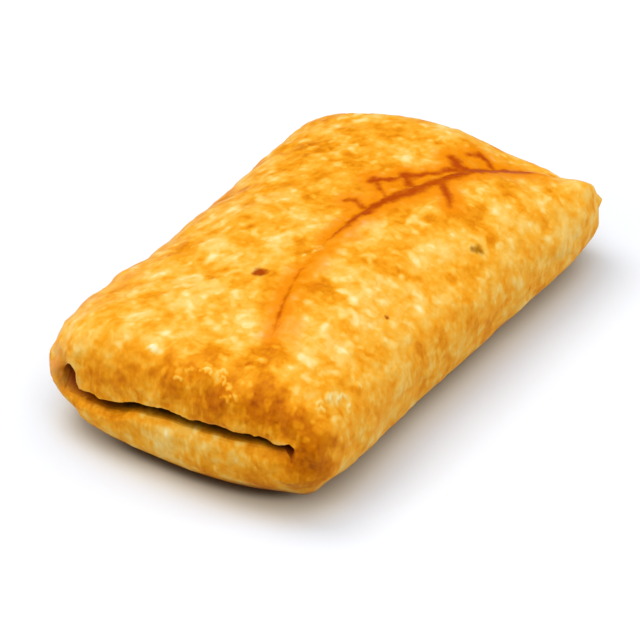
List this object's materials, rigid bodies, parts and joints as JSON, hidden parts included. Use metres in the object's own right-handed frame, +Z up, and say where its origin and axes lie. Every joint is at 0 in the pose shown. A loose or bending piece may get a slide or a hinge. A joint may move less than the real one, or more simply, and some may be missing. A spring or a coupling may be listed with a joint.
{
  "type": "pizza puff",
  "caption": "Deep-fried filled dough pocket, oblong and flattened, with turned-in folds at its short ends and a round flap edge crossing the top.",
  "frame": {"origin": "middle of the bounding box in plan, on the plane that the underside rests on", "axes": "+X along the puff, away from the end with the wide open fold; +Y across it, away from the flap's side; +Z up"},
  "size_m": [0.1408, 0.084, 0.035],
  "materials": {
    "crust": "golden fried dough, mottled, slightly oily"
  },
  "bodies": {
    "root": {"pizza_puff": "crust"}
  },
  "joints": []
}
